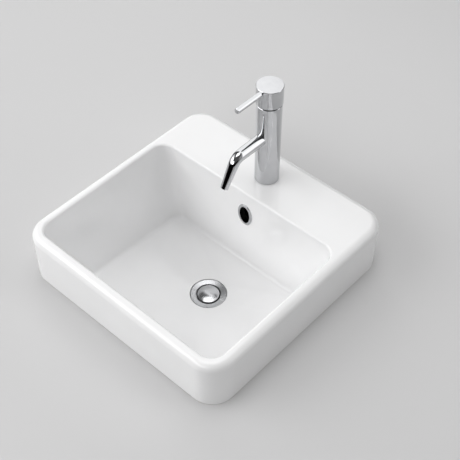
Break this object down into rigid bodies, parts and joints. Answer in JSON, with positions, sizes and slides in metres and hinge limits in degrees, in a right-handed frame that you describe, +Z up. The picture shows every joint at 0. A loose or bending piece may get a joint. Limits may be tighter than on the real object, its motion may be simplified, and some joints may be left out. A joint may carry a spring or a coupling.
{
  "type": "inset basin with mixer tap",
  "caption": "Square inset ceramic basin with a raised rim, rear tap deck, oval overflow, push-top waste and a chrome single-lever mixer.",
  "frame": {"origin": "centre of the basin's plan, on the counter top, in the plane of the upstand's foot", "axes": "+Z up, +Y towards the tap deck at the back, +X to the right of a person at the basin"},
  "size_m": [0.4, 0.397, 0.4278],
  "materials": {
    "glaze": "white gloss glaze",
    "chrome": "polished chrome plate",
    "brass": "plain turned",
    "steel": "zinc plated",
    "rubber": "black matte",
    "plastic": "off-white moulded",
    "disc_ceramic": "lapped"
  },
  "bodies": {
    "basin": {"basin_body": "glaze", "overflow_trim": "chrome", "waste_body": "chrome", "waste_latch": "brass", "flange_seal": "rubber", "cone_washer": "rubber", "slip_washer": "plastic", "back_nut": "brass", "mixer_body": "chrome", "base_gasket": "rubber", "spout_tube": "chrome", "aerator_housing": "chrome", "aerator_insert": "plastic", "port_seals": "rubber", "cartridge_body": "plastic", "fixed_disc": "disc_ceramic", "retaining_nut": "brass", "dome_cover": "chrome", "fixing_stud": "steel", "clamp_gasket": "rubber", "clamp_plate": "steel", "fixing_nut": "brass"},
    "plug": {"plug_cap": "chrome", "plug_stem": "brass", "plug_seal": "rubber"},
    "swivel": {"spindle": "brass", "pivot_pin": "steel"},
    "handle": {"lever_stem": "brass", "handle_cap": "chrome", "pin_lever": "chrome", "grub_screw": "steel"},
    "disc": {"moving_disc": "disc_ceramic"}
  },
  "joints": [
    {"name": "plug_lift", "type": "slide", "parent": "basin", "child": "plug", "axis": [0, 0, 1], "range_m": [0, 0.007]},
    {"name": "handle_swivel", "type": "hinge", "parent": "basin", "child": "swivel", "pos_m": [0, 0.141, 0.228], "axis": [0, 0, 1], "range_deg": [-45, 45]},
    {"name": "handle_lift", "type": "hinge", "parent": "swivel", "child": "handle", "pos_m": [0, 0.141, 0.228], "axis": [-1, 0, 0], "range_deg": [0, 20]},
    {"name": "disc_slide", "type": "slide", "parent": "swivel", "child": "disc", "axis": [0, -1, 0], "range_m": [0, 0.0036]}
  ],
  "couplings": [
    {"joint": "disc_slide", "follows": "handle_lift", "m_per_rad": 0.01}
  ]
}
